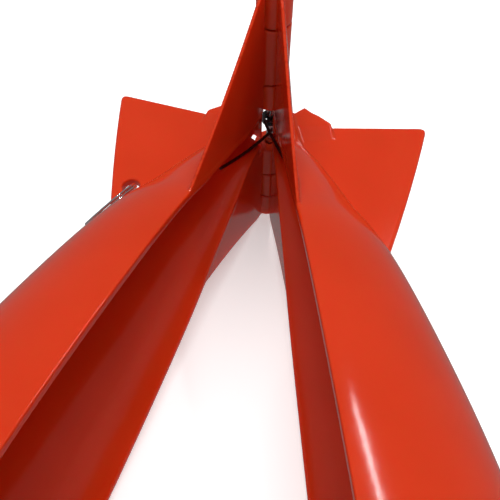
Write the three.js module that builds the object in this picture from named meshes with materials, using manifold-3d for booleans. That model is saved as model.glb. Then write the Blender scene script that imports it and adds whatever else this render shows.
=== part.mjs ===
// Bait rocket: two hinged half shells with four tail fins, sprung open at the tail
// and latched at the nose by a push button. It lies on its lower fins, partly open.
//
// Frame: millimetres, +Z up along the hinge axis, nose towards -Y. The origin is the
// centre of the hinge barrel's lower end face, on the surface that the tail rests on.
import * as THREE from 'three';
import { mergeVertices } from 'three/addons/utils/BufferGeometryUtils.js';
import Module from 'manifold-3d';

const wasm = await Module();
wasm.setup();

// ---- driving dimensions ----------------------------------------------------------
const openAngle = 13.62 * Math.PI / 180; // each half away from the nose axis, at rest
const finRadius = 33.2;       // hinge-side fin tips from the nose axis
const bodyRadius = 27.2;      // widest body radius
const bodyWidest = 118;       // distance of the widest section from the hinge axis
const noseLength = 42;        // length of the ellipse that closes the nose
const noseFace = 156;         // flat front face of the shells, from the hinge axis
const wall = 1.6;             // body wall
const neckWall = 1.2;         // wall of the narrow tail neck
const splitGap = 0.3;         // gap between the closed halves
const fitGap = 0.3;           // clearance between pieces that seat on each other

const neckEnd = 1.8;          // tail end of the neck, from the hinge axis
const webEnd = 4.6;           // front of the solid web that closes the neck at the hinge
const bulkheadStart = 120;    // front wall of the bait chamber
const bulkheadThickness = 2.5;

const hingeFinThickness = 1.6;  // each half of the split fins
const hingeFinRoot = 36.8;      // where the split fins' leading edges meet the body
const hingeFinTipChord = 5;     // length of their tip edges
const hingeFinBow = 0.8;        // outward bow of their leading edges
const outerFinThickness = 2.2;
const outerFinRoot = 40.5;      // where the outer fins' leading edges meet the body
const outerFinTip = 7.5;        // their tips, from the hinge axis
const outerFinTail = 5.6;       // their trailing edges at the root
const outerFinTailRadius = 13.4;

const blockThickness = 4.8;     // thick tail block at each outer fin's root
const blockRamp = 2.4;          // its sloped front, which runs down to the fin

const barrelRadius = 3.4;
const pinRadius = 0.8;
const pinClearance = 0.3;
const pinHeadRadius = 1.7;
const pinHeadHeight = 1;
const springBay = [-8, 4.5];    // the hinge's open middle, from the nose axis
const upperKnuckles = [6.6, 12.8];  // lengths, from the bay to the tip, which takes the rest
const lowerKnuckles = [8.6, 8.3];
const knuckleGap = 0.3;
const bayRadius = 2.5;          // recess round the spring's coil
const baySlot = 0.95;           // slot in the left web, out from the split plane
const legChannel = [-2.8, -1.1]; // channel in the right web that the lower leg crosses
const neckWindow = [[0.9, 2.8], [2.9, 4.8], [-6, -1]]; // opening below the left web

const springWire = 0.7;
const springCoilRadius = 1.5;
const springTop = 0;            // upper end of the coil, above the middle
const springPitch = 0.78;

const ringHole = [18.4, 29.9];  // eyelet in the left outer fin: out from the axis, forward
const ringHoleRadius = 1.75;
const ringWire = 0.5;
const ringRadius = 6.4;
const ringPitch = 0.55;

const housingStart = 132;       // trigger housing along the nose axis
const housingEnd = 146;
const housingHalfWidth = 7;
const housingLeft = -5;         // its reach past the split plane
const housingRight = 7;
const flangeThickness = 2.5;
const flangeHalfWidth = 11.6;
const stemRadius = 2.9;
const waistRadius = 1.9;
const stemClearance = 0.3;
const slotStart = 135;          // slot that the catch clip enters
const slotEnd = 139;
const slotDepth = 3.5;
const counterbore = 4;          // depth of the seat for the button's spring
const buttonTravel = 4;
const buttonRadius = 6;
const buttonLength = 9;
const buttonClearance = 0.6;
const buttonSpringWire = 0.8;
const buttonSpringRadius = 4.2;
const clipGroove = 1.2;         // width of the retaining clip's groove
const retainerRadius = 4.2;
const retainerThickness = 0.6;

const catchBase = 12;           // catch clip's base plate from the split plane
const catchThickness = 0.9;
const catchWidth = 2.5;         // width of its arms
const catchBaseWidth = 5.6;
const catchReach = 2.6;         // its hooks past the nose axis
const catchMouth = 1.2;         // half gap between the hooks
const screwRadius = 1;
const screwHeadRadius = 2;
const screwHeadHeight = 1.3;
const screwLength = 6;
const screwSpacing = 9.3;       // screws above and below the nose axis
const bossRadius = 2.7;

// ---- materials -------------------------------------------------------------------
const finish = (color, roughness, metalness) =>
  new THREE.MeshStandardMaterial({ color, roughness, metalness });
const redPlastic = finish(0xcf3a1e, 0.22, 0);
const blackPlastic = finish(0x1b1b1c, 0.5, 0);
const rubber = finish(0x161617, 0.8, 0);
const steel = finish(0xb9bcc0, 0.25, 1);
const darkSteel = finish(0x2b2b2e, 0.3, 1);

// ---- solids ----------------------------------------------------------------------
function solid(geometry) {
  const bare = geometry.clone();
  for (const name of ['normal', 'uv']) bare.deleteAttribute(name);
  const merged = mergeVertices(bare, 1e-4);
  const vertProperties = new Float32Array(merged.attributes.position.array);
  const kept = [];
  const index = merged.index.array;
  for (let i = 0; i < index.length; i += 3) {
    const [a, b, c] = [index[i], index[i + 1], index[i + 2]];
    if (a !== b && b !== c && c !== a) kept.push(a, b, c);
  }
  const made = (triVerts) => new wasm.Manifold(new wasm.Mesh({
    numProp: 3, vertProperties, triVerts: new Uint32Array(triVerts),
  }));
  const first = made(kept);
  if (first.volume() > 0) return first;
  const flipped = [];
  for (let i = 0; i < kept.length; i += 3) flipped.push(kept[i], kept[i + 2], kept[i + 1]);
  return made(flipped);
}

function piece(name, shape, material) {
  const { numProp, vertProperties, triVerts } = shape.getMesh();
  const position = new Float32Array(vertProperties.length / numProp * 3);
  for (let i = 0; i < position.length / 3; i++) {
    for (let k = 0; k < 3; k++) position[3 * i + k] = vertProperties[numProp * i + k];
  }
  const geometry = new THREE.BufferGeometry();
  geometry.setAttribute('position', new THREE.BufferAttribute(position, 3));
  geometry.setIndex(new THREE.BufferAttribute(new Uint32Array(triVerts), 1));
  geometry.computeVertexNormals();
  const mesh = new THREE.Mesh(geometry, material);
  mesh.name = name;
  return mesh;
}

const join = (parts) => parts.reduce((sum, part) => sum.add(part));
const cut = (shape, tools) => tools.reduce((rest, tool) => rest.subtract(tool), shape);

// A round solid about the nose axis. Points are [distance from the hinge axis, radius].
function turned(points, segments = 36) {
  return solid(new THREE.LatheGeometry(
    points.map(([forward, radius]) => new THREE.Vector2(radius, -forward)), segments));
}

function rod(radius, start, end, segments = 16) {
  return turned([[start, 0], [start, radius], [end, radius], [end, 0]], segments);
}

// A round bar along Z or X through a point given as [x, forward, z].
function barZ(radius, x, forward, low, high, segments = 20) {
  const shape = new THREE.CylinderGeometry(radius, radius, high - low, segments);
  shape.rotateX(Math.PI / 2);
  shape.translate(x, -forward, (low + high) / 2);
  return solid(shape);
}

function barX(radius, low, high, forward, z, segments = 14) {
  const shape = new THREE.CylinderGeometry(radius, radius, high - low, segments);
  shape.rotateZ(Math.PI / 2);
  shape.translate((low + high) / 2, -forward, z);
  return solid(shape);
}

// A box from its ranges across, along the nose axis and in height.
function block([x0, x1], [forward0, forward1], [z0, z1]) {
  const shape = new THREE.BoxGeometry(x1 - x0, forward1 - forward0, z1 - z0);
  shape.translate((x0 + x1) / 2, -(forward0 + forward1) / 2, (z0 + z1) / 2);
  return solid(shape);
}

// A plate in the XY plane, centred on z = 0, from points [x, forward].
function flatPlate(points, thickness) {
  const outline = new THREE.Shape(points.map(([x, forward]) => new THREE.Vector2(x, -forward)));
  const shape = new THREE.ExtrudeGeometry(outline, { depth: thickness, bevelEnabled: false });
  shape.translate(0, 0, -thickness / 2);
  return solid(shape);
}

// A plate in the split plane, between two x values, from points [forward, z].
function uprightPlate(points, x0, x1) {
  const outline = new THREE.Shape(points.map(([forward, z]) => new THREE.Vector2(-forward, z)));
  const shape = new THREE.ExtrudeGeometry(outline, { depth: x1 - x0, bevelEnabled: false });
  shape.applyMatrix4(new THREE.Matrix4().makeBasis(
    new THREE.Vector3(0, 1, 0), new THREE.Vector3(0, 0, 1), new THREE.Vector3(1, 0, 0)));
  shape.translate(x0, 0, 0);
  return solid(shape);
}

// A round wire along points [x, forward, z].
function wire(points, diameter, steps, sides = 8) {
  const path = new THREE.CatmullRomCurve3(
    points.map(([x, forward, z]) => new THREE.Vector3(x, -forward, z)), false, 'centripetal');
  const section = new THREE.Shape();
  for (let i = 0; i < sides; i++) {
    const angle = 2 * Math.PI * i / sides;
    const [x, y] = [diameter / 2 * Math.cos(angle), diameter / 2 * Math.sin(angle)];
    if (i === 0) section.moveTo(x, y); else section.lineTo(x, y);
  }
  return solid(new THREE.ExtrudeGeometry(section,
    { steps, bevelEnabled: false, extrudePath: path }));
}

// ---- body profile ----------------------------------------------------------------
// The tail neck flares into the body, which swells to its widest section.
const flare = [[neckEnd, 5.2], [11, 5.9], [18.7, 9.2], [25.2, 11.7], [31.8, 14.1], [37.4, 16.6],
  [44.9, 19], [59.8, 22.3], [78.5, 25.3], [98, 26.8], [bodyWidest, bodyRadius]];
const flareCurve = new THREE.CatmullRomCurve3(
  flare.map(([forward, radius]) => new THREE.Vector3(forward, radius, 0)), false, 'centripetal');
const flareSteps = 26;
const noseSteps = 8;

function bodyPoints() {
  const points = flareCurve.getPoints(flareSteps).map((p) => [p.x, p.y]);
  for (let i = 1; i <= noseSteps; i++) {
    const forward = bodyWidest + (noseFace - bodyWidest) * i / noseSteps;
    const across = (forward - bodyWidest) / noseLength;
    points.push([forward, bodyRadius * Math.sqrt(1 - across * across)]);
  }
  return points;
}
const outline = bodyPoints();

function bodyRadiusAt(forward) {
  const i = Math.max(1, outline.findIndex(([at]) => at >= forward));
  const [[s0, r0], [s1, r1]] = [outline[i - 1], outline[i]];
  return r0 + (r1 - r0) * (forward - s0) / (s1 - s0);
}

// The wall is thin on the neck and full once the body is wide.
function wallAt(radius) {
  return neckWall + (wall - neckWall) * Math.min(1, (radius - flare[0][1]) / 10);
}

function chamber() {
  const inside = outline.filter(([forward]) => forward < bulkheadStart)
    .map(([forward, radius]) => [forward, radius - wallAt(radius)]);
  const [, tailRadius] = inside[0];
  const frontRadius = bodyRadiusAt(bulkheadStart) - wall;
  const kept = inside.filter(([forward]) => forward > webEnd);
  return turned([[webEnd, 0], [webEnd, tailRadius], ...kept,
    [bulkheadStart, frontRadius], [bulkheadStart, 0]], 32);
}

function nosePocket() {
  const start = bulkheadStart + bulkheadThickness;
  const end = noseFace - 3;
  const steps = 5;
  const points = [[start, 0]];
  for (let i = 0; i <= steps; i++) {
    const forward = start + (end - start) * i / steps;
    points.push([forward, bodyRadiusAt(forward) - wall - 0.2]);
  }
  points.push([end, 0]);
  return turned(points, 32);
}

// ---- fins ------------------------------------------------------------------------
function roundedCorner(corner, before, after, radius, steps = 4) {
  const [c, b, a] = [corner, before, after].map(([x, y]) => new THREE.Vector2(x, y));
  const start = c.clone().add(b.clone().sub(c).setLength(radius));
  const end = c.clone().add(a.clone().sub(c).setLength(radius));
  return new THREE.QuadraticBezierCurve(start, c, end).getPoints(steps).map((p) => [p.x, p.y]);
}

// One half of a split fin, above the nose axis: its leading edge bows slightly.
function hingeFin(up, x0, x1) {
  const rootHeight = bodyRadiusAt(hingeFinRoot);
  const mid = [(hingeFinRoot + hingeFinTipChord) / 2 + hingeFinBow / 2,
    (rootHeight + finRadius) / 2 + hingeFinBow];
  const tip = [hingeFinTipChord, finRadius];
  const points = [[0, 0], [hingeFinRoot + 2, 0], [hingeFinRoot + 1.2, rootHeight - 1], mid,
    ...roundedCorner(tip, mid, [0, finRadius], 3), [0, finRadius]];
  return uprightPlate(points.map(([forward, z]) => [forward, up * z]), x0, x1);
}

function outerFin() {
  const inside = bodyRadiusAt(outerFinRoot) - 1;
  const tip = [finRadius, outerFinTip];
  const root = [inside, outerFinRoot + 2];
  const tail = [outerFinTailRadius, outerFinTail];
  return flatPlate([[3, outerFinTail + 1], [3, outerFinRoot], root,
    ...roundedCorner(tip, root, tail, 1.6), tail], outerFinThickness);
}

// The block is cut to a blunt point behind, with a slope in front of its full height.
function tailBlock() {
  const half = blockThickness / 2;
  const front = outerFinTail + blockRamp + 1;
  const profile = [[4.4, front], [12.9, front], [12.9, outerFinTail + 1], [7.4, 1.2],
    [5.6, 2.2], [4.4, 3.2]];
  const full = flatPlate(profile, blockThickness);
  const wedge = (up) => {
    const reach = blockRamp;
    const corner = [[front + 1, up * outerFinThickness / 2], [front + 1, up * (half + 1)],
      [front - reach, up * (half + 1)], [front - reach, up * half]];
    return uprightPlate(corner, 3, 14);
  };
  return cut(full, [wedge(1), wedge(-1)]);
}

// ---- hinge -----------------------------------------------------------------------
// The knuckles alternate between the halves from the spring's bay out to both tips.
function knuckleSpans(bayEnd, [inner, middle], up) {
  const middleStart = inner + knuckleGap;
  const tipStart = middleStart + middle + knuckleGap;
  const spans = [[0, inner], [middleStart, middleStart + middle],
    [tipStart, finRadius - up * bayEnd]];
  return spans.map((span) => span.map((z) => bayEnd + up * z).sort((a, b) => a - b));
}
const upperSpans = knuckleSpans(springBay[1], upperKnuckles, 1);
const lowerSpans = knuckleSpans(springBay[0], lowerKnuckles, -1);
const rightSpans = [upperSpans[0], upperSpans[2], lowerSpans[1]];
const leftSpans = [lowerSpans[0], lowerSpans[2], upperSpans[1]];

function halfShell(side, ownKnuckles, otherKnuckles, pinBore, extras) {
  const body = turned([[neckEnd, 0], ...outline, [noseFace, 0]]);
  const near = splitGap / 2;
  const fins = [1, -1].map((up) => hingeFin(up, 0, near + hingeFinThickness));
  const keep = block([near, 60], [-10, 170], [-60, 60]);
  const clear = barrelRadius + fitGap;
  const notches = otherKnuckles.map(([low, high]) =>
    barZ(clear, 0, 0, low - knuckleGap, high + knuckleGap));
  const bay = barZ(bayRadius, 0, 0, springBay[0], springBay[1]);
  const buttonHole = rod(buttonRadius + buttonClearance, noseFace - 5, noseFace + 5, 24);
  let half = join([body, ...fins, outerFin(), tailBlock()]).intersect(keep);
  half = cut(half, [chamber(), nosePocket(), buttonHole, bay, ...notches]);
  const knuckles = ownKnuckles.map(([low, high]) => barZ(barrelRadius, 0, 0, low, high));
  half = cut(join([half, ...knuckles]), [pinBore]);
  half = extras(half);
  return side > 0 ? half : half.mirror([1, 0, 0]);
}

const boreRadius = pinRadius + pinClearance;
const blindEnd = -finRadius + 1.7;
const pinTop = finRadius - 0.3;
const headBottom = pinTop - pinHeadHeight;

function pinBore() {
  const shaft = barZ(boreRadius, 0, 0, blindEnd, finRadius + 1, 16);
  const head = barZ(pinHeadRadius + fitGap, 0, 0, headBottom - fitGap, finRadius + 1, 16);
  return join([shaft, head]);
}

function hingePin() {
  const shaft = barZ(pinRadius, 0, 0, blindEnd + fitGap, pinTop, 16);
  return join([shaft, barZ(pinHeadRadius, 0, 0, headBottom, pinTop, 16)]);
}

// Screw bosses grow from the middle of the body wall and stop short of their plate.
function bosses(half, face, forward) {
  const core = turned([[neckEnd, 0], ...outline.map(([s, r]) => [s, r - wall / 2]),
    [noseFace, 0]]);
  const pilot = screwRadius + fitGap;
  const posts = [1, -1].map((up) =>
    barX(bossRadius, face, bodyRadius, forward, up * screwSpacing).intersect(core));
  const holes = [1, -1].map((up) =>
    barX(pilot, face - 1, face + screwLength + 1, forward, up * screwSpacing));
  return cut(join([half, ...posts]), holes);
}

const screwForward = (slotStart + slotEnd) / 2;
const flangeOuter = housingRight + flangeThickness;

function rightShell() {
  const channel = block([-1, baySlot], [0, webEnd + 1], legChannel);
  return halfShell(1, rightSpans, leftSpans, pinBore(),
    (half) => cut(bosses(half, flangeOuter + fitGap, screwForward), [channel]));
}

function leftShell() {
  const eyelet = barZ(ringHoleRadius, ringHole[0], ringHole[1], -3, 3);
  const slot = block([-1, baySlot], [0, webEnd + 1], springBay);
  return halfShell(-1, leftSpans, rightSpans, pinBore(),
    (half) => cut(bosses(half, catchBase + fitGap, screwForward),
      [eyelet, slot, block(...neckWindow)]));
}

// ---- opening spring --------------------------------------------------------------
// A close coil whose two legs cross in front of it, each to the far half.
function openingSpring() {
  const points = [];
  const stepsPerTurn = 10;
  const turns = 2.5;
  for (let i = 0; i <= turns * stepsPerTurn; i++) {
    const angle = Math.PI + 2 * Math.PI * i / stepsPerTurn;
    points.push([springCoilRadius * Math.cos(angle), springCoilRadius * Math.sin(angle),
      springTop - springPitch * i / stepsPerTurn]);
  }
  const z = springTop - springPitch * turns;
  const upperLeg = [[5.6, 12, -2.2], [3.2, 8.6, -1.3], [0.3, 4.4, -0.2], [-1, 1.75, 0]];
  const lowerLeg = [[1, 1.75, z], [-0.3, 4.4, z], [-4.5, 9.7, -2.7], [-8.6, 14.5, -2.6]];
  return wire([...upperLeg, ...points, ...lowerLeg], springWire, 80, 7);
}

// ---- line ring -------------------------------------------------------------------
const leftFrame = (forward, x, z) => new THREE.Vector3(x, -forward, z);
const hole = leftFrame(ringHole[1], -ringHole[0], 0);
const toCentre = leftFrame(0.956, -0.164, 0.18).normalize();
const holeTangent = leftFrame(0.102, -0.578, -0.81).projectOnPlane(toCentre).normalize();
const ringAxis = new THREE.Vector3().crossVectors(toCentre, holeTangent);
const ringCentre = hole.clone().addScaledVector(toCentre, ringRadius);

function onRing(angle, radius = ringRadius, lift = 0) {
  return ringCentre.clone().addScaledVector(toCentre, -radius * Math.cos(angle))
    .addScaledVector(holeTangent, radius * Math.sin(angle)).addScaledVector(ringAxis, lift);
}

function splitRing() {
  const points = [];
  const steps = 56;
  const turns = 1.94;
  for (let i = 0; i <= steps; i++) {
    const turned = turns * i / steps;
    const p = onRing(Math.PI * (1 + 2 * turned), ringRadius, ringPitch * (turned - turns / 2));
    points.push([p.x, -p.y, p.z]);
  }
  return wire(points, ringWire, 64, 6);
}

// ---- trigger ---------------------------------------------------------------------
function triggerHousing() {
  const body = block([housingLeft, housingRight + 0.5], [housingStart, housingEnd],
    [-housingHalfWidth, housingHalfWidth]);
  const flange = block([housingRight, flangeOuter], [slotStart - 1, slotEnd + 1],
    [-flangeHalfWidth, flangeHalfWidth]);
  const bore = rod(stemRadius + stemClearance, housingStart - 1, housingEnd + 1, 20);
  const seat = rod(buttonSpringRadius + 0.8, housingEnd - counterbore, housingEnd + 1, 20);
  const slot = block([housingLeft - 1, slotDepth], [slotStart, slotEnd], [-5, 5]);
  const screwHoles = [1, -1].map((up) =>
    barX(screwRadius + fitGap, housingRight - 1, flangeOuter + 1, screwForward, up * screwSpacing));
  return cut(join([body, flange]), [bore, seat, slot, ...screwHoles]);
}

const stemEnd = housingStart - 2.4;
const retainerStart = housingStart - fitGap - retainerThickness;
const buttonBack = housingEnd + buttonTravel + 1;

// The stem's waist lies in the slot at rest; pressing brings the full shank there.
function plunger() {
  const grooveRadius = waistRadius;
  const groove0 = retainerStart - (clipGroove - retainerThickness) / 2;
  return turned([[stemEnd, 0], [stemEnd, stemRadius], [groove0, stemRadius],
    [groove0, grooveRadius], [groove0 + clipGroove, grooveRadius],
    [groove0 + clipGroove, stemRadius], [slotStart - 0.5, stemRadius],
    [slotStart, waistRadius], [slotEnd - 0.5, waistRadius], [slotEnd, stemRadius],
    [buttonBack + 4, stemRadius], [buttonBack + 4, 0]], 20);
}

function noseButton() {
  const front = buttonBack + buttonLength;
  const shoulder = front - 3.5;
  const dome = [];
  for (let i = 0; i <= 6; i++) {
    const angle = Math.PI / 2 * i / 6;
    dome.push([shoulder + 3.5 * Math.sin(angle), buttonRadius * Math.cos(angle)]);
  }
  const head = turned([[buttonBack, 0], [buttonBack, buttonRadius], ...dome.slice(0, -1),
    [front, 0]], 24);
  return cut(head, [rod(stemRadius + fitGap, buttonBack - 1, buttonBack + 4 + fitGap, 20)]);
}

function retainingClip() {
  const ring = rod(retainerRadius, retainerStart, retainerStart + retainerThickness, 20);
  const bore = rod(waistRadius + fitGap, retainerStart - 1, retainerStart + 2, 20);
  const mouth = block([-6, 0], [retainerStart - 1, retainerStart + 2], [-1.5, 1.5]);
  return cut(ring, [bore, mouth]);
}

function buttonSpring() {
  const start = housingEnd - counterbore + fitGap + buttonSpringWire / 2;
  const end = buttonBack - fitGap - buttonSpringWire / 2;
  const turns = 4;
  const steps = turns * 10;
  const points = Array.from({ length: steps + 1 }, (_, i) => {
    const angle = 2 * Math.PI * turns * i / steps;
    return [buttonSpringRadius * Math.cos(angle), start + (end - start) * i / steps,
      buttonSpringRadius * Math.sin(angle)];
  });
  return wire(points, buttonSpringWire, 60, 6);
}

// ---- catch -----------------------------------------------------------------------
// A spring steel fork: two arms on a base plate, with hooks that snap round the waist.
function catchClip() {
  const s0 = screwForward - catchWidth / 2;
  const s1 = screwForward + catchWidth / 2;
  const inner = waistRadius + fitGap;
  const outer = inner + catchThickness;
  const base = block([-catchBase, -catchBase + catchThickness],
    [screwForward - catchBaseWidth / 2, screwForward + catchBaseWidth / 2],
    [-screwSpacing - 2.6, screwSpacing + 2.6]);
  const arms = [1, -1].map((up) => {
    const range = (a, b) => (up > 0 ? [a, b] : [-b, -a]);
    return join([block([-catchBase, catchReach], [s0, s1], range(inner, outer)),
      block([catchReach - 0.6, catchReach], [s0, s1], range(catchMouth, outer))]);
  });
  const holes = [1, -1].map((up) =>
    barX(screwRadius + fitGap, -catchBase - 1, -catchBase + 2, screwForward, up * screwSpacing));
  return cut(join([base, ...arms]), holes);
}

// A pan head screw driven along +X; its head rests on a plate at x = face.
function screw(face, up) {
  const head = barX(screwHeadRadius, face - fitGap - screwHeadHeight, face - fitGap,
    screwForward, up * screwSpacing, 16);
  const shank = barX(screwRadius, face - fitGap - 0.5, face + screwLength,
    screwForward, up * screwSpacing, 12);
  const recess = block([face - fitGap - screwHeadHeight - 1, face - fitGap - screwHeadHeight + 0.6],
    [screwForward - 0.3, screwForward + 0.3], [up * screwSpacing - 1.3, up * screwSpacing + 1.3]);
  return cut(join([head, shank]), [recess]);
}

// ---- assembly --------------------------------------------------------------------
const rocket = new THREE.Group();
rocket.position.z = finRadius;
const leftHalf = new THREE.Group();
leftHalf.rotation.z = -openAngle;
const rightHalf = new THREE.Group();
rightHalf.rotation.z = openAngle;
rocket.add(leftHalf, rightHalf);

leftHalf.add(
  piece('left_shell', leftShell(), redPlastic),
  piece('catch_clip', catchClip(), steel),
  piece('catch_screw_upper', screw(catchBase - catchThickness, 1).mirror([1, 0, 0]), steel),
  piece('catch_screw_lower', screw(catchBase - catchThickness, -1).mirror([1, 0, 0]), steel),
  piece('split_ring', splitRing(), steel),
);
rightHalf.add(
  piece('right_shell', rightShell(), redPlastic),
  piece('trigger_housing', triggerHousing(), blackPlastic),
  piece('housing_screw_upper', screw(housingRight, 1), steel),
  piece('housing_screw_lower', screw(housingRight, -1), steel),
  piece('plunger', plunger(), steel),
  piece('nose_button', noseButton(), rubber),
  piece('button_spring', buttonSpring(), steel),
  piece('retaining_clip', retainingClip(), steel),
);
rocket.add(
  piece('hinge_pin', hingePin(), steel),
  piece('opening_spring', openingSpring(), darkSteel),
);

const assembly = new THREE.Group();
assembly.add(rocket);
export default assembly;
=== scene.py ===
"""Bait rocket, partly open: two glossy half shells hinged at the finned tail."""
import math

import bmesh
import bpy
import numpy as np
from mathutils import Matrix, Vector


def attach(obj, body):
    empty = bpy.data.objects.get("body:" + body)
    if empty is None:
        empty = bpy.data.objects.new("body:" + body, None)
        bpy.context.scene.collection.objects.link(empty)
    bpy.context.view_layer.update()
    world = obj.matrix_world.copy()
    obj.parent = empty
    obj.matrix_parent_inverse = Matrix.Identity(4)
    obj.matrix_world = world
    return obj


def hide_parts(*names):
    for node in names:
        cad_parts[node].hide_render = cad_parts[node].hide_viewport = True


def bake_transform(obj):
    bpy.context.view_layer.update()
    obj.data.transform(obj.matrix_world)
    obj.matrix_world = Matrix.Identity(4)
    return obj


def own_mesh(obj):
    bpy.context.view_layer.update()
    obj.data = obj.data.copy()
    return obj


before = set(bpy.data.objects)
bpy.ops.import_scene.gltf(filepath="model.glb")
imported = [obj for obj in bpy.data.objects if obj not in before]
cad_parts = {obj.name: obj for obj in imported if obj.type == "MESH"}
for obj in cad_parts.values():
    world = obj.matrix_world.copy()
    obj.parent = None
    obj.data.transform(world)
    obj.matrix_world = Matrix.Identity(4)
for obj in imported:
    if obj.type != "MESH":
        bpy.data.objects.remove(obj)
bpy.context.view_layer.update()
scene = bpy.context.scene

# ---- camera ----------------------------------------------------------------------
CAMERA_AT = Vector((0.01012, -0.09112, 0.12458))
# A rotation vector in axes x, z and s: its matrix rows point right, down and ahead.
CAMERA_TURN = Vector((-2.1191, -0.0896, 0.1682))
LENS, SENSOR = 40.88, 36

camera = bpy.data.cameras.new("camera")
camera.lens = LENS
camera.sensor_width = SENSOR
camera.clip_start = 0.005
camera_object = bpy.data.objects.new("camera", camera)
scene.collection.objects.link(camera_object)
scene.camera = camera_object
turn_matrix = Matrix.Rotation(CAMERA_TURN.length, 3, CAMERA_TURN.normalized())
right, down, ahead = turn_matrix
axes = [Vector((v.x, -v.z, v.y)) for v in (right, -down, -ahead)]
rotation = Matrix(axes).transposed().to_4x4()
camera_object.matrix_world = Matrix.Translation(CAMERA_AT) @ rotation

# ---- sizes, in millimetres, in the closed rocket's frame --------------------------
# x is out from the split plane, s forward from the hinge axis, z above the nose axis.
OPEN = math.radians(13.62)
FIN_R = 33.2
NECK_END, WEB_END = 1.8, 4.6
WIDEST, BODY_R, NOSE_LENGTH, NOSE_FACE = 118.0, 27.2, 42.0, 156.0
NECK_R, NECK_WALL, WALL_GAIN, WALL_RUN = 5.2, 1.2, 0.4, 10
BULKHEAD = (120.0, 122.5)
POCKET_WALL, NOSE_WALL, BUTTON_HOLE_R = 1.8, 3, 6.6
SPLIT = 0.15
HINGE_FIN_T, FIN_EDGE_T, FIN_TAPER = 1.6, 0.6, 0.17
OUTER_FIN_T, BLOCK_T, BLOCK_RAMP = 2.2, 4.4, (9.0, 3.0)
BARREL_R, CLEAR = 3.4, 0.3
PIN_R, PIN_HEAD_R = 0.8, 1.7
BLIND_END = -FIN_R + 1.7
PIN_TOP = FIN_R - 0.3
HEAD_BOTTOM = PIN_TOP - 1.0
BAY, BAY_R, BAY_SLOT = (-8.0, 4.5), 2.5, 0.95
LEG_CHANNEL = (-2.8, -1.1)
NECK_WINDOW = ((0.9, 2.8), (2.9, 4.8), (-6, -1))
RIGHT_SPANS = [(4.5, 11.1), (24.5, FIN_R), (-25.2, -16.9)]
LEFT_SPANS = [(-16.6, -8.0), (-FIN_R, -25.5), (11.4, 24.2)]
RING_HOLE, RING_HOLE_R = (18.4, 29.9), 1.75
RING_R, RING_WIRE, RING_PITCH, RING_TURNS = 6.4, 0.5, 0.55, 1.94
SCREW_S, SCREW_Z = 137.0, 9.3
POST_R, SCREW_HOLE_R, SCREW_HOLE_DEPTH = 2.7, 1.3, 7
RIGHT_POST_FACE, LEFT_POST_FACE = 9.8, 12.3

# The body's outline, as (s, radius).
FLARE = [(1.8, 5.2), (11, 5.9), (18.7, 9.2), (25.2, 11.7), (31.8, 14.1), (37.4, 16.6),
         (44.9, 19), (59.8, 22.3), (78.5, 25.3), (98, 26.8), (WIDEST, BODY_R)]


def centripetal(points, per=60):
    """A smooth curve through points, as an array of samples."""
    p = np.array(points, float)
    p = np.vstack([2 * p[0] - p[1], p, 2 * p[-1] - p[-2]])
    out = []
    for i in range(1, len(p) - 2):
        a, b, c, d = p[i - 1:i + 3]
        t0 = 0.0
        t1 = t0 + math.sqrt(np.linalg.norm(b - a))
        t2 = t1 + math.sqrt(np.linalg.norm(c - b))
        t3 = t2 + math.sqrt(np.linalg.norm(d - c))
        t = np.linspace(t1, t2, per, endpoint=False)[:, None]
        ab = (t1 - t) / (t1 - t0) * a + (t - t0) / (t1 - t0) * b
        bc = (t2 - t) / (t2 - t1) * b + (t - t1) / (t2 - t1) * c
        cd = (t3 - t) / (t3 - t2) * c + (t - t2) / (t3 - t2) * d
        abc = (t2 - t) / (t2 - t0) * ab + (t - t0) / (t2 - t0) * bc
        bcd = (t3 - t) / (t3 - t1) * bc + (t - t1) / (t3 - t1) * cd
        out.append((t2 - t) / (t2 - t1) * abc + (t - t1) / (t2 - t1) * bcd)
    return np.vstack(out + [p[-2:-1]])


flare = centripetal(FLARE)
stations = np.arange(-6.0, 160.0, 0.5)
nose_part = np.clip((stations - WIDEST) / NOSE_LENGTH, 0, 0.96)
radii = np.where(stations < WIDEST, np.interp(stations, flare[:, 0], flare[:, 1]),
                 BODY_R * np.sqrt(1 - nose_part ** 2))
for _ in range(3):
    # evens out the join of the flare and the round nose
    radii[1:-1] = (radii[:-2] + 2 * radii[1:-1] + radii[2:]) / 4
slopes = np.gradient(radii, stations)
# These make a radial distance true where the surface slopes.
leans = 1 / np.sqrt(1 + slopes ** 2)


def body_radius(s):
    return np.interp(s, stations, radii)


# ---- solids as distance functions -------------------------------------------------
# Negative is inside. The last number of smax, smin and box is how far an edge is rounded.
def smax(a, b, k):
    """The larger of two distances, rounding the edge where they cross."""
    h = np.maximum(k - np.abs(a - b), 0)
    return np.maximum(a, b) + h * h / (4 * k)


def smin(a, b, k):
    """The smaller of two distances, filling the corner where they meet."""
    return -smax(-a, -b, k)


def polygon(px, py, points):
    """Signed distance to a closed outline."""
    near = 1e9
    inside = False
    for (ax, ay), (bx, by) in zip(points, points[1:] + points[:1]):
        ex, ey = bx - ax, by - ay
        wx, wy = px - ax, py - ay
        t = np.clip((wx * ex + wy * ey) / (ex * ex + ey * ey), 0, 1)
        near = np.minimum(near, (wx - ex * t) ** 2 + (wy - ey * t) ** 2)
        crosses = (py < ay) != (py < by)
        beyond = px < ax + ex * (py - ay) / (ey if ey else 1e-9)
        inside = inside ^ (crosses & beyond)
    return np.where(inside, -1.0, 1.0) * np.sqrt(near)


def slab(v, low, high):
    """Distance to the space between two values."""
    return np.abs(v - (low + high) / 2) - (high - low) / 2


def box(x, s, z, xs, ss, zs, k=0.3):
    """Distance to a box from its spans along x, s and z."""
    return smax(smax(slab(x, *xs), slab(s, *ss), k), slab(z, *zs), k)


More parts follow.
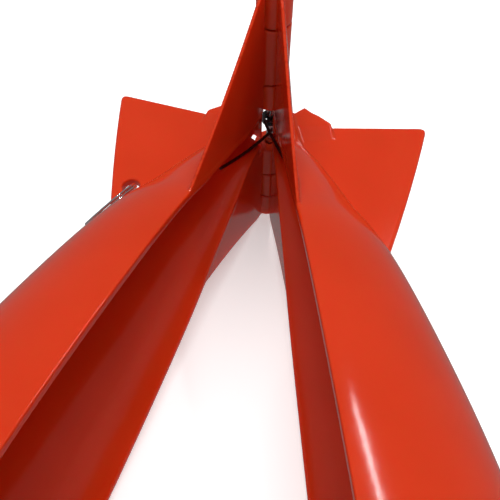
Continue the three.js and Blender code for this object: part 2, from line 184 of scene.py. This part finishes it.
def rounded_plate(outline, across, low, high, r):
    """A plate from its outline's distance, with round edges of that radius."""
    a, b = outline + r, slab(across, low, high) + r
    beyond = np.sqrt(np.maximum(a, 0) ** 2 + np.maximum(b, 0) ** 2)
    return np.minimum(np.maximum(a, b), 0) + beyond - r


def corner(point, before, after, radius, steps=7):
    """Points round a corner of an outline, which starts that far from it on both sides."""
    c, b, a = (np.array(v, float) for v in (point, before, after))
    start = c + (b - c) / np.linalg.norm(b - c) * radius
    end = c + (a - c) / np.linalg.norm(a - c) * radius
    t = np.linspace(0, 1, steps)[:, None]
    return [tuple(v) for v in (1 - t) ** 2 * start + 2 * t * (1 - t) * c + t * t * end]


def bow(start, end, out, steps=8):
    """Points along a slightly bowed edge."""
    a, b = np.array(start, float), np.array(end, float)
    normal = np.array([b[1] - a[1], a[0] - b[0]]) / np.linalg.norm(b - a)
    t = np.linspace(0, 1, steps)[:, None]
    return [tuple(v) for v in a + (b - a) * t + normal * out * 4 * t * (1 - t)]


# Outlines of the fins: (s, height) on the split plane, and (x, s) across it.
HINGE_LE = bow((38.0, 15.8), (5.0, FIN_R), -1.0)
HINGE_FIN = ([(0, 0), (38.8, 0)] + HINGE_LE[:-1]
             + corner((5.0, FIN_R), HINGE_LE[-2], (0, FIN_R), 3.2) + [(0, FIN_R)])
OUTER_ROOT = (16.3, 42.5)
OUTER_TAIL = (13.4, 5.6)
OUTER_LE = bow(OUTER_ROOT, (FIN_R, 7.5), -0.5)
OUTER_FIN = ([(3, 6.6), (3, 40.5)] + OUTER_LE[:-1]
             + corner((FIN_R, 7.5), OUTER_LE[-2], OUTER_TAIL, 1.8) + [OUTER_TAIL])
BLOCK = [(4.4, 9.0), (12.6, 9.0), (12.6, 6.4), (12.4, 5.4), (10.3, 3.1), (8.8, 1.9),
         (7.5, 0.3), (5.8, 1.3), (4.4, 2.4)]


def fins(x, s, z):
    """The tapered fin on the split plane, and the outer fin with the block at its tail."""
    height = np.abs(z)
    edge = polygon(s, height, HINGE_FIN)
    plate = rounded_plate(edge, x, SPLIT, SPLIT + HINGE_FIN_T, 0.2)
    taper = (x - SPLIT - FIN_EDGE_T + FIN_TAPER * np.minimum(edge, 0)) * 0.985
    hinge_fin = smax(plate, taper, 0.2)
    across = polygon(x, s, OUTER_FIN)
    outer_fin = rounded_plate(across, z, -OUTER_FIN_T / 2, OUTER_FIN_T / 2, 0.8)
    swell = np.clip((BLOCK_RAMP[0] - s) / BLOCK_RAMP[1], 0, 1)
    block = smax(polygon(x, s, BLOCK), height - (
        OUTER_FIN_T / 2 + (BLOCK_T - OUTER_FIN_T) / 2 * swell), 0.5)
    return hinge_fin, outer_fin, block


def half_shell(x, s, z, own, other, face, left):
    """One half, on the side where x is positive.

    own and other are the heights of this half's and the other half's hinge knuckles,
    face is where the screw posts begin, and left says that it is the half with the ring.
    """
    r = np.sqrt(x * x + z * z)
    rho = np.sqrt(x * x + s * s)
    height = np.abs(z)
    lean = np.interp(s, stations, leans)
    radius = body_radius(s)
    wall = NECK_WALL + WALL_GAIN * np.clip((radius - NECK_R) / WALL_RUN, 0, 1)
    skin = (r - radius) * lean

    # the outside
    body = smax(smax(skin, NECK_END - s, 0.4), s - NOSE_FACE, 1.2)
    hinge_fin, outer_fin, block = fins(x, s, z)
    solid = smin(smin(smin(body, hinge_fin, 0.5), outer_fin, 0.6), block, 0.6)

    # the bait chamber, the pocket in the nose and the hole for the button
    chamber = smax((r - radius + wall) * lean, s - BULKHEAD[0], 1.5)
    chamber = smax(chamber, WEB_END - s, 0.6)
    pocket = smax((r - radius + POCKET_WALL) * lean, BULKHEAD[1] - s, 1.5)
    pocket = smax(pocket, s - NOSE_FACE + NOSE_WALL, 1.5)
    hole = smax(r - BUTTON_HOLE_R, NOSE_FACE - 5 - s, 0.2)
    solid = smax(smax(smax(solid, -chamber, 0.3), -pocket, 0.3), -hole, 0.6)

    # the screw posts
    posts = np.sqrt((s - SCREW_S) ** 2 + (height - SCREW_Z) ** 2)
    post = smax(smax(posts - POST_R, face - x, 0.3), skin + 0.8, 0.2)
    bores = smax(posts - SCREW_HOLE_R, slab(x, face - 1, face + SCREW_HOLE_DEPTH), 0.1)
    solid = smax(smin(solid, post, 0.8), -bores, 0.2)

    # the split plane, the slot for the spring's legs and the bay for its coil
    solid = smax(solid, SPLIT - x, 0.3)
    heights = BAY if left else LEG_CHANNEL
    slot = box(x, s, z, (-1, BAY_SLOT), (0, WEB_END + 1), heights)
    solid = smax(solid, -slot, 0.2)
    solid = smax(solid, -np.maximum(rho - BAY_R, slab(z, *BAY)), 0.25)

    # the hinge knuckles, and the hole for the pin and its head
    for low, top in other:
        notch = np.maximum(rho - BARREL_R - CLEAR, slab(z, low - CLEAR, top + CLEAR))
        solid = smax(solid, -notch, 0.25)
    for low, top in own:
        solid = smin(solid, smax(rho - BARREL_R, slab(z, low, top), 0.4), 0.5)
    bore = np.maximum(rho - PIN_R - CLEAR, BLIND_END - z)
    solid = smax(solid, -bore, 0.2)
    head_bore = np.maximum(rho - PIN_HEAD_R - CLEAR, HEAD_BOTTOM - CLEAR - z)
    solid = smax(solid, -head_bore, 0.3)

    if left:
        ring = np.sqrt((x - RING_HOLE[0]) ** 2 + (s - RING_HOLE[1]) ** 2) - RING_HOLE_R
        solid = smax(solid, -ring, 0.5)
        solid = smax(solid, -box(x, s, z, *NECK_WINDOW), 0.2)
    return solid


def gradient(shape, p, h):
    """The slope of a distance function at points, over that distance to both sides."""
    out = np.empty_like(p)
    for k in range(3):
        step = np.zeros(3)
        step[k] = h
        out[:, k] = shape(*(p + step).T) - shape(*(p - step).T)
    return out / (2 * h)


def surface(shape, low, high, step):
    """A mesh of the surface where shape is zero: points, unit normals and quads."""
    grid = [np.arange(a - 1.5 * step, b + 2.5 * step, step) for a, b in zip(low, high)]
    x, s, z = grid
    inside = shape(x[:, None, None], s[None, :, None], z[None, None, :]) < 0
    cells = tuple(n - 1 for n in inside.shape)
    count = np.zeros(cells, np.int8)
    for i in (0, 1):
        for j in (0, 1):
            for k in (0, 1):
                count += inside[i:i + cells[0], j:j + cells[1], k:k + cells[2]]
    mixed = (count > 0) & (count < 8)
    index = np.full(cells, -1)
    index[mixed] = np.arange(mixed.sum())
    where = np.argwhere(mixed)
    centre = np.stack([grid[k][where[:, k]] + step / 2 for k in range(3)], 1)
    quads = []
    for axis in range(3):
        a, b = [k for k in range(3) if k != axis]
        first = np.take(inside, range(cells[axis]), axis)
        second = np.take(inside, range(1, cells[axis] + 1), axis)
        at = np.argwhere(first != second)
        at = at[(at[:, a] > 0) & (at[:, b] > 0)]
        at = at[(at[:, a] < cells[a]) & (at[:, b] < cells[b])]
        out = first[tuple(at.T)]
        ring = []
        for da, db in ((1, 1), (0, 1), (0, 0), (1, 0)):
            cell = at.copy()
            cell[:, a] -= da
            cell[:, b] -= db
            ring.append(index[tuple(cell.T)])
        ring = np.stack(ring, 1)
        flip = out if axis != 1 else ~out
        ring[~flip] = ring[~flip][:, ::-1]
        quads.append(ring)
    quads = np.vstack(quads)
    points = centre.copy()

    def settle(points, times):
        """Moves points onto the surface, each within reach of its own cell."""
        for _ in range(times):
            value = shape(*points.T)
            slope = gradient(shape, points, 0.02)
            length = np.maximum((slope ** 2).sum(1), 0.2)
            points = points - slope * (value / length)[:, None]
            points = np.clip(points, centre - 0.75 * step, centre + 0.75 * step)
        return points

    points = settle(points, 3)
    for _ in range(2):
        total = np.zeros_like(points)
        share = np.zeros(len(points))
        for a, b in ((0, 1), (1, 2), (2, 3), (3, 0)):
            for m, n in ((a, b), (b, a)):
                for k in range(3):
                    pull = points[quads[:, n], k]
                    total[:, k] += np.bincount(quads[:, m], pull, len(points))
                share += np.bincount(quads[:, m], minlength=len(points))
        points = settle(0.4 * points + 0.6 * total / share[:, None], 2)
    normal = gradient(shape, points, 0.06)
    normal /= np.linalg.norm(normal, axis=1)[:, None] + 1e-9
    return points, normal, quads


# ---- meshes ------------------------------------------------------------------------
def half_frame(side):
    """From the closed frame of one half to the row frame: side is 1 right, -1 left."""
    c, n = math.cos(side * OPEN), math.sin(side * OPEN)
    return np.array([[c, -n, 0], [n, c, 0], [0, 0, 1]])


def to_row(p, side):
    """Points [x, s, z] in millimetres to metres in the row frame.

    x is outwards on that side; side 0 belongs to neither half, with x to the right.
    """
    flat = np.stack([p[:, 0] * (side or 1), -p[:, 1], p[:, 2]], 1)
    return (flat @ half_frame(side).T + [0, 0, FIN_R]) / 1000


def make(name, points, faces, normals=None):
    """A smooth shaded mesh, with its own normals where they are given."""
    mesh = bpy.data.meshes.new(name)
    mesh.from_pydata([tuple(p) for p in points.tolist()], [], [tuple(f) for f in faces])
    mesh.update()
    mesh.polygons.foreach_set("use_smooth", [True] * len(mesh.polygons))
    if normals is not None:
        mesh.normals_split_custom_set_from_vertices(normals.tolist())
    made = bpy.data.objects.new(name, mesh)
    scene.collection.objects.link(made)
    return made


def solid_piece(name, shape, low, high, step, side):
    """A piece of one half from a distance function: side is 1 right, -1 left."""
    points, normal, quads = surface(shape, low, high, step)
    if side > 0:
        quads = quads[:, ::-1]
    turned = np.stack([normal[:, 0] * side, -normal[:, 1], normal[:, 2]], 1)
    return make(name, to_row(points, side), quads.tolist(), turned @ half_frame(side).T)


def fix_normals(obj):
    """Turns all faces of a closed mesh outwards."""
    work = bmesh.new()
    work.from_mesh(obj.data)
    bmesh.ops.recalc_face_normals(work, faces=work.faces)
    work.to_mesh(obj.data)
    work.free()


def turned_piece(name, profile, side, axis="s", segments=96):
    """A round piece from points [along, radius], about the nose axis or the hinge axis.

    Edges sharper than 40 degrees stay crisp.
    """
    angles = np.linspace(0, 2 * math.pi, segments, endpoint=False)
    points, rings = [], []
    for along, radius in profile:
        if radius < 1e-6:
            rings.append([len(points)])
            points.append((0, along, 0) if axis == "s" else (0, 0, along))
            continue
        rings.append(list(range(len(points), len(points) + segments)))
        for a in angles:
            u, v = radius * math.cos(a), radius * math.sin(a)
            points.append((u, along, v) if axis == "s" else (u, v, along))
    faces = []
    for one, two in zip(rings, rings[1:]):
        for i in range(segments):
            j = (i + 1) % segments
            quad = [one[i % len(one)], one[j % len(one)],
                    two[j % len(two)], two[i % len(two)]]
            # at the axis a ring is one point, so its quads are triangles
            faces.append(list(dict.fromkeys(quad)))
    made = make(name, to_row(np.array(points), side), faces)
    fix_normals(made)
    made.data.set_sharp_from_angle(angle=math.radians(40))
    return made


def wire_piece(name, path, diameter, side, sides=16):
    """A round wire along points [x, s, z], with domed ends."""
    p = to_row(np.array(path, float), side)
    tangent = np.gradient(p, axis=0)
    tangent /= np.linalg.norm(tangent, axis=1)[:, None]
    normal = np.cross(tangent[0], [0.3, 0.2, 0.9])
    r = diameter / 2000
    dome = [(lift, max(0.05, math.sqrt(1 - lift ** 2))) for lift in (0.4, 0.75, 1.0)]
    points, rings = [], []

    def ring(centre, n, b, radius):
        rings.append(list(range(len(points), len(points) + sides)))
        for a in np.linspace(0, 2 * math.pi, sides, endpoint=False):
            points.append(centre + radius * (math.cos(a) * n + math.sin(a) * b))

    for i in range(len(p)):
        t = tangent[i]
        normal = normal - t * (normal @ t)
        normal /= np.linalg.norm(normal)
        b = np.cross(t, normal)
        if i == 0:
            for lift, narrow in reversed(dome):
                ring(p[i] - t * r * lift, normal, b, r * narrow)
        ring(p[i], normal, b, r)
        if i == len(p) - 1:
            for lift, narrow in dome:
                ring(p[i] + t * r * lift, normal, b, r * narrow)
    faces = [rings[0][::-1], rings[-1]]
    for one, two in zip(rings, rings[1:]):
        for i in range(sides):
            j = (i + 1) % sides
            faces.append([one[i], one[j], two[j], two[i]])
    made = make(name, np.array(points), faces)
    fix_normals(made)
    return made


# ---- materials ---------------------------------------------------------------------
def material(name, colour, metallic=0.0, ior=1.5):
    """A new material, with its node tree and its shader."""
    made = bpy.data.materials.new(name)
    made.use_nodes = True
    shader = made.node_tree.nodes["Principled BSDF"]
    shader.inputs["Base Color"].default_value = (*colour, 1)
    shader.inputs["Metallic"].default_value = metallic
    shader.inputs["IOR"].default_value = ior
    return made, made.node_tree, shader


def noise(tree, scale, detail=3.0, stretch=(1, 1, 1)):
    """Noise in the row frame, at that many waves a metre."""
    nodes, links = tree.nodes, tree.links
    at = nodes.new("ShaderNodeTexCoord")
    mapping = nodes.new("ShaderNodeMapping")
    mapping.inputs["Scale"].default_value = stretch
    links.new(at.outputs["Object"], mapping.inputs["Vector"])
    texture = nodes.new("ShaderNodeTexNoise")
    texture.inputs["Scale"].default_value = scale
    texture.inputs["Detail"].default_value = detail
    links.new(mapping.outputs["Vector"], texture.inputs["Vector"])
    return texture.outputs["Fac"]


def ramp(tree, value, low, high):
    """The value mapped between two greys or two colours."""
    made = tree.nodes.new("ShaderNodeValToRGB")
    for stop, position, v in zip(made.color_ramp.elements, (0.3, 0.7), (low, high)):
        stop.position = position
        stop.color = (v, v, v, 1) if isinstance(v, float) else (*v, 1)
    tree.links.new(value, made.inputs["Fac"])
    return made.outputs["Color"]


def bump(tree, shader, heights):
    """Stacks bumps: each is a value and its height in metres."""
    last = None
    for value, height in heights:
        made = tree.nodes.new("ShaderNodeBump")
        made.inputs["Distance"].default_value = height
        made.inputs["Strength"].default_value = 1.0
        tree.links.new(value, made.inputs["Height"])
        if last is not None:
            tree.links.new(last, made.inputs["Normal"])
        last = made.outputs["Normal"]
    tree.links.new(last, shader.inputs["Normal"])


def uneven(made, rough, tone, grain):
    """Gives a material an uneven roughness, an uneven tone and a fine grain.

    rough is (scale, detail, low, high), tone is (scale, detail, darker, lighter) and
    grain is (scale, detail, height); scales are in waves a metre.
    """
    look, tree, shader = made
    for socket, (scale, detail, low, high) in (("Roughness", rough), ("Base Color", tone)):
        value = ramp(tree, noise(tree, scale, detail), low, high)
        tree.links.new(value, shader.inputs[socket])
    bump(tree, shader, [(noise(tree, *grain[:2]), grain[2])])
    return look


def shell_plastic():
    """Glossy red plastic that is a little translucent, with slow ripples in its surface."""
    made, tree, shader = material("shell_plastic", (0.51, 0.031, 0.005), ior=1.45)
    colour = ramp(tree, noise(tree, 60, 2), (0.49, 0.029, 0.004), (0.53, 0.033, 0.006))
    tree.links.new(colour, shader.inputs["Base Color"])
    rough = ramp(tree, noise(tree, 900, 4), 0.11, 0.15)
    tree.links.new(rough, shader.inputs["Roughness"])
    ripple = noise(tree, 95, 2, (1, 0.55, 1))
    dimples = noise(tree, 700, 1)
    grain = noise(tree, 4500, 2)
    bump(tree, shader, [(ripple, 0.00006), (dimples, 0.00001), (grain, 0.000001)])
    shader.inputs["Subsurface Weight"].default_value = 0.45
    shader.inputs["Subsurface Radius"].default_value = (1.0, 0.04, 0.02)
    shader.inputs["Subsurface Scale"].default_value = 0.004
    return made


def steel(name, colour, low, high):
    darker = tuple(0.85 * c for c in colour)
    return uneven(material(name, colour, metallic=1.0), (1500, 4, low, high),
                  (400, 3, darker, colour), (3000, 3, 0.000004))


def black_plastic():
    return uneven(material("trigger_plastic", (0.02, 0.02, 0.022)), (700, 3, 0.42, 0.58),
                  (200, 3, (0.018, 0.018, 0.02), (0.03, 0.03, 0.033)), (6000, 4, 0.000012))


def rubber():
    made = material("button_rubber", (0.018, 0.018, 0.019))
    made[2].inputs["Sheen Weight"].default_value = 0.15
    return uneven(made, (900, 3, 0.6, 0.78),
                  (300, 3, (0.015, 0.015, 0.016), (0.035, 0.034, 0.034)), (4000, 4, 0.00002))


RED = shell_plastic()
BRIGHT = steel("bright_steel", (0.62, 0.63, 0.65), 0.18, 0.32)
DARK = steel("spring_steel", (0.09, 0.09, 0.095), 0.22, 0.36)
CHROME = steel("ring_chrome", (0.75, 0.76, 0.78), 0.06, 0.12)
BLACK = black_plastic()
RUBBER = rubber()


def finish_piece(made, body, node, look):
    """Gives a piece its material and its body, and hides the CAD node it stands for."""
    made.data.materials.append(look)
    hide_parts(node)
    if body:
        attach(made, body)


# ---- shells ------------------------------------------------------------------------
SHELL_STEP = 0.42
SHELL_LOW, SHELL_HIGH = (-BARREL_R, -BARREL_R, -FIN_R), (FIN_R, NOSE_FACE, FIN_R)


def right_shape(x, s, z):
    return half_shell(x, s, z, RIGHT_SPANS, LEFT_SPANS, RIGHT_POST_FACE, False)


def left_shape(x, s, z):
    return half_shell(x, s, z, LEFT_SPANS, RIGHT_SPANS, LEFT_POST_FACE, True)


right_shell = solid_piece("right_half_shell", right_shape, SHELL_LOW, SHELL_HIGH, SHELL_STEP, 1)
finish_piece(right_shell, "right_half", "right_shell", RED)
left_shell = solid_piece("left_half_shell", left_shape, SHELL_LOW, SHELL_HIGH, SHELL_STEP, -1)
finish_piece(left_shell, "left_half", "left_shell", RED)

# ---- hinge pin and opening spring --------------------------------------------------
pin_low = BLIND_END + CLEAR
pin = turned_piece("pin", [
    (pin_low, 0), (pin_low, PIN_R - 0.3), (pin_low + 0.3, PIN_R), (HEAD_BOTTOM, PIN_R),
    (HEAD_BOTTOM, PIN_HEAD_R - 0.1), (HEAD_BOTTOM + 0.1, PIN_HEAD_R),
    (PIN_TOP - 0.4, PIN_HEAD_R), (PIN_TOP - 0.15, PIN_HEAD_R - 0.3),
    (PIN_TOP - 0.03, PIN_HEAD_R - 0.8), (PIN_TOP, 0)], 0, "z", 48)
finish_piece(pin, "left_half", "hinge_pin", BRIGHT)

COIL_R, COIL_PITCH, COIL_TURNS, COIL_STEPS = 1.5, 0.78, 2.5, 10
TORSION_WIRE = 0.7
coil = []
for i in range(int(COIL_TURNS * COIL_STEPS) + 1):
    angle = math.pi + 2 * math.pi * i / COIL_STEPS
    coil.append((COIL_R * math.cos(angle), COIL_R * math.sin(angle),
                 -COIL_PITCH * i / COIL_STEPS))
coil_foot = -COIL_PITCH * COIL_TURNS
upper_leg = [(5.6, 12, -2.2), (3.2, 8.6, -1.3), (0.3, 4.4, -0.2), (-1, 1.75, 0)]
lower_leg = [(1, 1.75, coil_foot), (-0.3, 4.4, coil_foot), (-4.5, 9.7, -2.7),
             (-8.6, 14.5, -2.6)]
torsion_path = centripetal(upper_leg + coil + lower_leg, 6)
spring = wire_piece("torsion_spring", torsion_path, TORSION_WIRE, 0, 18)
finish_piece(spring, None, "opening_spring", DARK)
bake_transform(spring)

# ---- line ring -----------------------------------------------------------------------
# In the left half's frame, with x to the right, y backwards and z up.
RING_STEPS = 240
hole = np.array([-RING_HOLE[0], -RING_HOLE[1], 0])
to_centre = np.array([-0.164, -0.956, 0.18])
to_centre /= np.linalg.norm(to_centre)
through = np.array([-0.578, -0.102, -0.81])
through -= to_centre * (through @ to_centre)
through /= np.linalg.norm(through)
ring_axis = np.cross(to_centre, through)
ring_centre = hole + to_centre * RING_R
ring_path = []
for i in range(RING_STEPS + 1):
    part = RING_TURNS * i / RING_STEPS
    a = math.pi * (1 + 2 * part)
    p = ring_centre + RING_R * (math.sin(a) * through - math.cos(a) * to_centre)
    p = p + ring_axis * RING_PITCH * (part - RING_TURNS / 2)
    ring_path.append((-p[0], -p[1], p[2]))
ring = wire_piece("line_split_ring", ring_path, RING_WIRE, -1, 16)
finish_piece(ring, "line_ring", "split_ring", CHROME)


# ---- trigger -----------------------------------------------------------------------
HOUSING = ((-5, 7.5), (132, 146), (-7, 7))
HOUSING_FLANGE = ((7, 9.5), (134, 140), (-11.6, 11.6))
HOUSING_SLOT = ((-7, 3.5), (135, 139), (-5, 5))
STEM_HOLE_R, SPRING_SEAT, SPRING_SEAT_R = 3.2, 142, 5.0
SCREW_HEAD_R, SCREW_HEAD_T, SCREW_REACH = 2.0, 1.6, 6
THREAD_R, THREAD_DEPTH, THREAD_PITCH = 0.92, 0.08, 0.55
CROSS_LONG, CROSS_WIDE, CROSS_DEPTH = 1.2, 0.3, 0.9


def housing_shape(x, s, z):
    height = np.abs(z)
    r = np.sqrt(x * x + z * z)
    block = box(x, s, z, *HOUSING, 0.9)
    flange = box(x, s, z, *HOUSING_FLANGE, 0.8)
    solid = smin(block, flange, 0.6)
    solid = smax(solid, STEM_HOLE_R - r, 0.3)
    solid = smax(solid, -np.maximum(r - SPRING_SEAT_R, SPRING_SEAT - s), 0.4)
    solid = smax(solid, -box(x, s, z, *HOUSING_SLOT, 0.3), 0.4)
    holes = np.sqrt((s - SCREW_S) ** 2 + (height - SCREW_Z) ** 2) - SCREW_HOLE_R
    return smax(solid, -np.maximum(holes, 6 - x), 0.3)


housing = solid_piece("trigger_block", housing_shape, (-5, 132, -11.6), (9.5, 146, 11.6), 0.3, 1)
finish_piece(housing, "right_half", "trigger_housing", BLACK)


def screw_piece(name, node, body, side, face, up):
    """A pan head screw along x, with its head just inside a plate that begins at face."""
    at = up * SCREW_Z

    def shape(x, s, z):
        v, w = s - SCREW_S, z - at
        r = np.sqrt(v * v + w * w)
        crown = (r * r * 0.12 - (x - face + SCREW_HEAD_T)) * 0.9
        head = smax(r - SCREW_HEAD_R, slab(x, face - SCREW_HEAD_T, face - 0.3), 0.5)
        head = smax(head, crown, 0.3)
        wave = THREAD_DEPTH * np.sin(2 * math.pi * (x - face) / THREAD_PITCH + np.arctan2(w, v))
        thread = r - THREAD_R - wave * np.clip((x - face) * 2, 0, 1)
        shank = smax(thread, slab(x, face - 0.8, face + SCREW_REACH), 0.4)
        solid = smin(head, shank, 0.2)
        v, w = np.abs(v), np.abs(w)
        cross = np.minimum(smax(v - CROSS_WIDE, w - CROSS_LONG, 0.2),
                           smax(w - CROSS_WIDE, v - CROSS_LONG, 0.2))
        return smax(solid, -np.maximum(cross, x - face + CROSS_DEPTH), 0.1)

    low = (face - SCREW_HEAD_T, SCREW_S - SCREW_HEAD_R, at - SCREW_HEAD_R)
    high = (face + SCREW_REACH, SCREW_S + SCREW_HEAD_R, at + SCREW_HEAD_R)
    made = solid_piece(name, shape, low, high, 0.13, side)
    finish_piece(made, body, node, BRIGHT)


screw_piece("screw_housing_upper", "housing_screw_upper", "right_half", 1, 7, 1)
screw_piece("screw_housing_lower", "housing_screw_lower", "right_half", 1, 7, -1)
screw_piece("screw_catch_upper", "catch_screw_upper", "left_half", -1, 11.1, 1)
screw_piece("screw_catch_lower", "catch_screw_lower", "left_half", -1, 11.1, -1)

stem = turned_piece("stem", [
    (129.6, 0), (129.6, 2.4), (130.1, 2.9), (130.8, 2.9), (130.8, 1.9), (132, 1.9),
    (132, 2.9), (134.5, 2.9), (135, 1.9), (138.5, 1.9), (139, 2.9), (154.6, 2.9),
    (155, 2.5), (155, 0)], 1)
finish_piece(stem, "button", "plunger", BRIGHT)

CAP_FRONT, CAP_SHOULDER, CAP_R, GROOVE_R = 160.0, 156.5, 6.0, 5.7
DOME = CAP_FRONT - CAP_SHOULDER
dome = [(CAP_SHOULDER + DOME * math.sin(a), CAP_R * math.cos(a))
        for a in np.linspace(0, 1.5, 16)]
grip = []
for groove in range(3):
    at = 152.2 + 1.4 * groove
    grip += [(at - 0.35, CAP_R), (at - 0.15, GROOVE_R), (at + 0.15, GROOVE_R),
             (at + 0.35, CAP_R)]
cap = turned_piece("push_button", [
    (155.3, 0), (155.3, 3.2), (151, 3.2), (151, GROOVE_R), (151.3, CAP_R)] + grip + dome
    + [(CAP_FRONT, 0)], 1)
finish_piece(cap, "button", "nose_button", RUBBER)


CLIP_R, CLIP_HOLE_R, CLIP_SPAN = 4.2, 2.2, (131.1, 131.7)


def clip_shape(x, s, z):
    """A flat ring that is open on one side."""
    r = np.sqrt(x * x + z * z)
    disc = smax(r - CLIP_R, slab(s, *CLIP_SPAN), 0.15)
    washer = smax(disc, CLIP_HOLE_R - r, 0.15)
    return smax(washer, -np.maximum(x, np.abs(z) - 1.5), 0.2)


clip = solid_piece("stem_clip", clip_shape, (-CLIP_R, CLIP_SPAN[0], -CLIP_R),
                   (CLIP_R, CLIP_SPAN[1], CLIP_R), 0.13, 1)
finish_piece(clip, "button", "retaining_clip", DARK)

PRESS_TURNS, PRESS_START, PRESS_END, PRESS_R, PRESS_WIRE = 4, 142.7, 150.3, 4.2, 0.8
press_path = []
for t in np.linspace(0, PRESS_TURNS, 193):
    along = PRESS_START + (PRESS_END - PRESS_START) * t / PRESS_TURNS
    angle = 2 * math.pi * t
    press_path.append((PRESS_R * math.cos(angle), along, PRESS_R * math.sin(angle)))
press_spring = wire_piece("press_spring", press_path, PRESS_WIRE, 1, 16)
finish_piece(press_spring, "right_half", "button_spring", DARK)
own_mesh(press_spring)


CATCH_BASE = ((11.1, 12), (134.2, 139.8), (-11.9, 11.9))
CATCH_ARM = ((-2.6, 12), (135.75, 138.25), (2.2, 3.1))
CATCH_HOOK = ((-2.6, -2.0), (135.75, 138.25), (1.2, 3.1))


def catch_shape(x, s, z):
    """A plate with two arms that end in hooks."""
    height = np.abs(z)
    base = box(x, s, z, *CATCH_BASE, 0.3)
    arm = box(x, s, height, *CATCH_ARM, 0.25)
    hook = box(x, s, height, *CATCH_HOOK, 0.25)
    solid = smin(smin(base, arm, 0.5), hook, 0.3)
    holes = np.sqrt((s - SCREW_S) ** 2 + (height - SCREW_Z) ** 2) - SCREW_HOLE_R
    return smax(solid, -np.maximum(holes, 10 - x), 0.15)


catch = solid_piece("latch_fork", catch_shape, (-2.6, 134.2, -11.9), (12, 139.8, 11.9), 0.18, -1)
finish_piece(catch, "left_half", "catch_clip", BRIGHT)

# ---- stage ---------------------------------------------------------------------------
# The rocket lies on its fin tips and its belly, so the floor rises towards the nose.
REST_SLOPE = 0.0525
bpy.ops.mesh.primitive_plane_add(size=6, location=(0, -0.0034, -0.0001))
floor = bpy.context.object
floor.name = "floor"
floor.rotation_euler = (-math.atan(REST_SLOPE), 0, 0)
pale, pale_tree, pale_shader = material("floor", (0.9, 0.9, 0.9))
tone = ramp(pale_tree, noise(pale_tree, 3, 2), (0.88, 0.88, 0.88), (0.91, 0.91, 0.91))
pale_tree.links.new(tone, pale_shader.inputs["Base Color"])
pale_shader.inputs["Roughness"].default_value = 0.7
pale_shader.inputs["Emission Color"].default_value = (1, 1, 1, 1)
pale_shader.inputs["Emission Strength"].default_value = 0.35
floor.data.materials.append(pale)
floor.visible_glossy = False

world = bpy.data.worlds.new("studio")
world.use_nodes = True
world.node_tree.nodes["Background"].inputs["Color"].default_value = (1, 1, 1, 1)
world.node_tree.nodes["Background"].inputs["Strength"].default_value = 0.21
scene.world = world


def softbox(name, at, target, size, power, along=(0, 1, 0), mirrored=True):
    """A rectangular light whose second side lies along a direction.

    mirrored says whether it is seen in glossy surfaces or only lights them.
    """
    light = bpy.data.lights.new(name, "AREA")
    light.shape = "RECTANGLE"
    light.size, light.size_y = size
    light.energy = power
    made = bpy.data.objects.new(name, light)
    back = (Vector(at) - Vector(target)).normalized()
    side = Vector(along).cross(back).normalized()
    frame_axes = Matrix((side, back.cross(side), back)).transposed().to_4x4()
    made.matrix_world = Matrix.Translation(at) @ frame_axes
    made.visible_glossy = mirrored
    scene.collection.objects.link(made)


softbox("streak", (0.168, 0.1127, 0.442), (0.02, -0.072, 0.058), (0.006, 0.23), 0.4,
        (0.099, -0.152, 0.068))
OVERHEAD = ((0, -0.10, 1.3), (0, -0.06, 0.02), (1.0, 1.0))
softbox("overhead", *OVERHEAD, 17.3, mirrored=False)
softbox("glow", *OVERHEAD, 2.2)
scene.view_settings.view_transform = "Standard"
